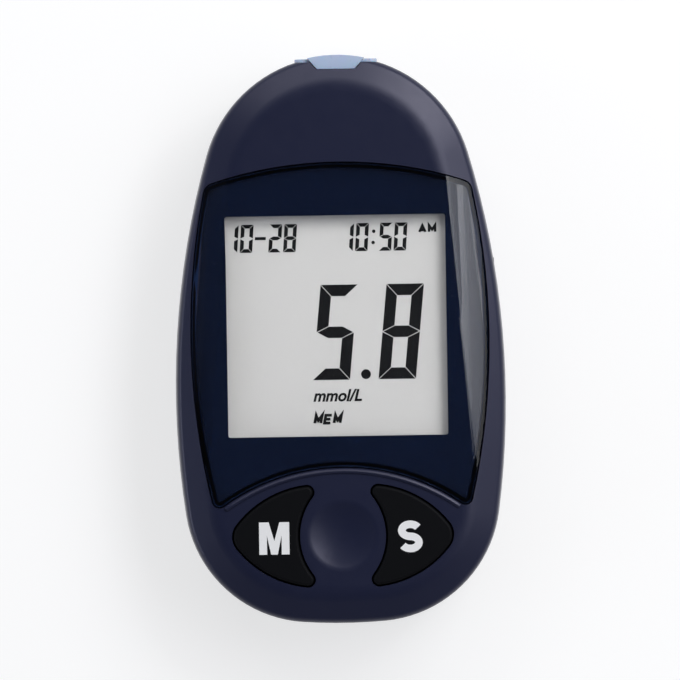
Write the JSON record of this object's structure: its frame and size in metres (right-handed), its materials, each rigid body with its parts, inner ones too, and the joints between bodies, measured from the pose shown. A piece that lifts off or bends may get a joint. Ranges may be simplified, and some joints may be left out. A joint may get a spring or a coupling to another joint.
{
  "type": "blood glucose meter",
  "caption": "Oval pocket blood glucose meter with a large display window, two rubber keys, a strip port, a battery door and a sliding code chip.",
  "frame": {"origin": "middle of the meter's footprint, on the surface that its back lies on", "axes": "+Y along the meter's length towards the strip port, +Z out of the display, +X to the right as the display is read"},
  "size_m": [0.064, 0.1098, 0.022],
  "materials": {
    "case": "fine satin navy moulded plastic",
    "lens": "clear polished window",
    "mask": "dark navy print seen through the window",
    "tape": "black adhesive tape",
    "port_blue": "pale blue translucent plastic",
    "key_rubber": "matt black rubber with white letters",
    "carbon": "carbon pill",
    "mat_rubber": "grey silicone",
    "board": "green solder mask",
    "gold": "gold plated",
    "holder_plastic": "ivory moulded plastic",
    "display_film": "grey polarizer of a reflective display",
    "display_glass": "display glass",
    "reflector_film": "grey reflector film",
    "zebra_rubber": "pink elastomer with carbon lines",
    "chip_resin": "black moulding resin",
    "steel": "nickel plated steel",
    "capacitor_ceramic": "tan ceramic",
    "chip_case": "satin navy plastic",
    "jack_plastic": "black moulded plastic",
    "screw_steel": "zinc plated steel",
    "label": "silver grey blank label"
  },
  "bodies": {
    "meter": {"front_shell": "case", "rear_shell": "case", "display_lens": "lens", "lens_mask": "mask", "lens_tape": "tape", "strip_port_bezel": "port_blue", "keypad_mat": "mat_rubber", "circuit_board": "board", "key_contact_pads": "gold", "display_holder": "holder_plastic", "display_front_polarizer": "display_film", "display_front_glass": "display_glass", "display_rear_glass": "display_glass", "display_reflector": "reflector_film", "zebra_strip": "zebra_rubber", "processor_chip": "chip_resin", "memory_chip": "chip_resin", "measuring_chip": "chip_resin", "crystal": "steel", "capacitors": "capacitor_ceramic", "resistors": "chip_resin", "beeper": "chip_resin", "strip_connector": "holder_plastic", "strip_contacts": "gold", "coin_cell": "steel", "battery_plus_contact": "steel", "battery_minus_contact": "steel", "code_chip_socket": "holder_plastic", "code_socket_contacts": "gold", "data_jack": "jack_plastic", "data_jack_springs": "gold", "case_screws": "screw_steel", "rating_label": "label"},
    "m_key": {"m_button": "key_rubber", "m_carbon_pill": "carbon"},
    "s_key": {"s_button": "key_rubber", "s_carbon_pill": "carbon"},
    "door": {"battery_door": "case"},
    "chip": {"code_chip": "chip_case", "code_chip_contacts": "gold"}
  },
  "joints": [
    {"name": "m_press", "type": "slide", "parent": "meter", "child": "m_key", "axis": [0, 0, -1], "range_m": [0, 0.001], "stiffness_N_per_m": 1500, "springref_m": -0.0003},
    {"name": "s_press", "type": "slide", "parent": "meter", "child": "s_key", "axis": [0, 0, -1], "range_m": [0, 0.001], "stiffness_N_per_m": 1500, "springref_m": -0.0003},
    {"name": "door_swing", "type": "hinge", "parent": "meter", "child": "door", "pos_m": [0, 0.0012, 0.00105], "axis": [1, 0, 0], "range_deg": [0, 75]},
    {"name": "chip_slide", "type": "slide", "parent": "meter", "child": "chip", "axis": [-1, 0, 0], "range_m": [0, 0.016]}
  ]
}
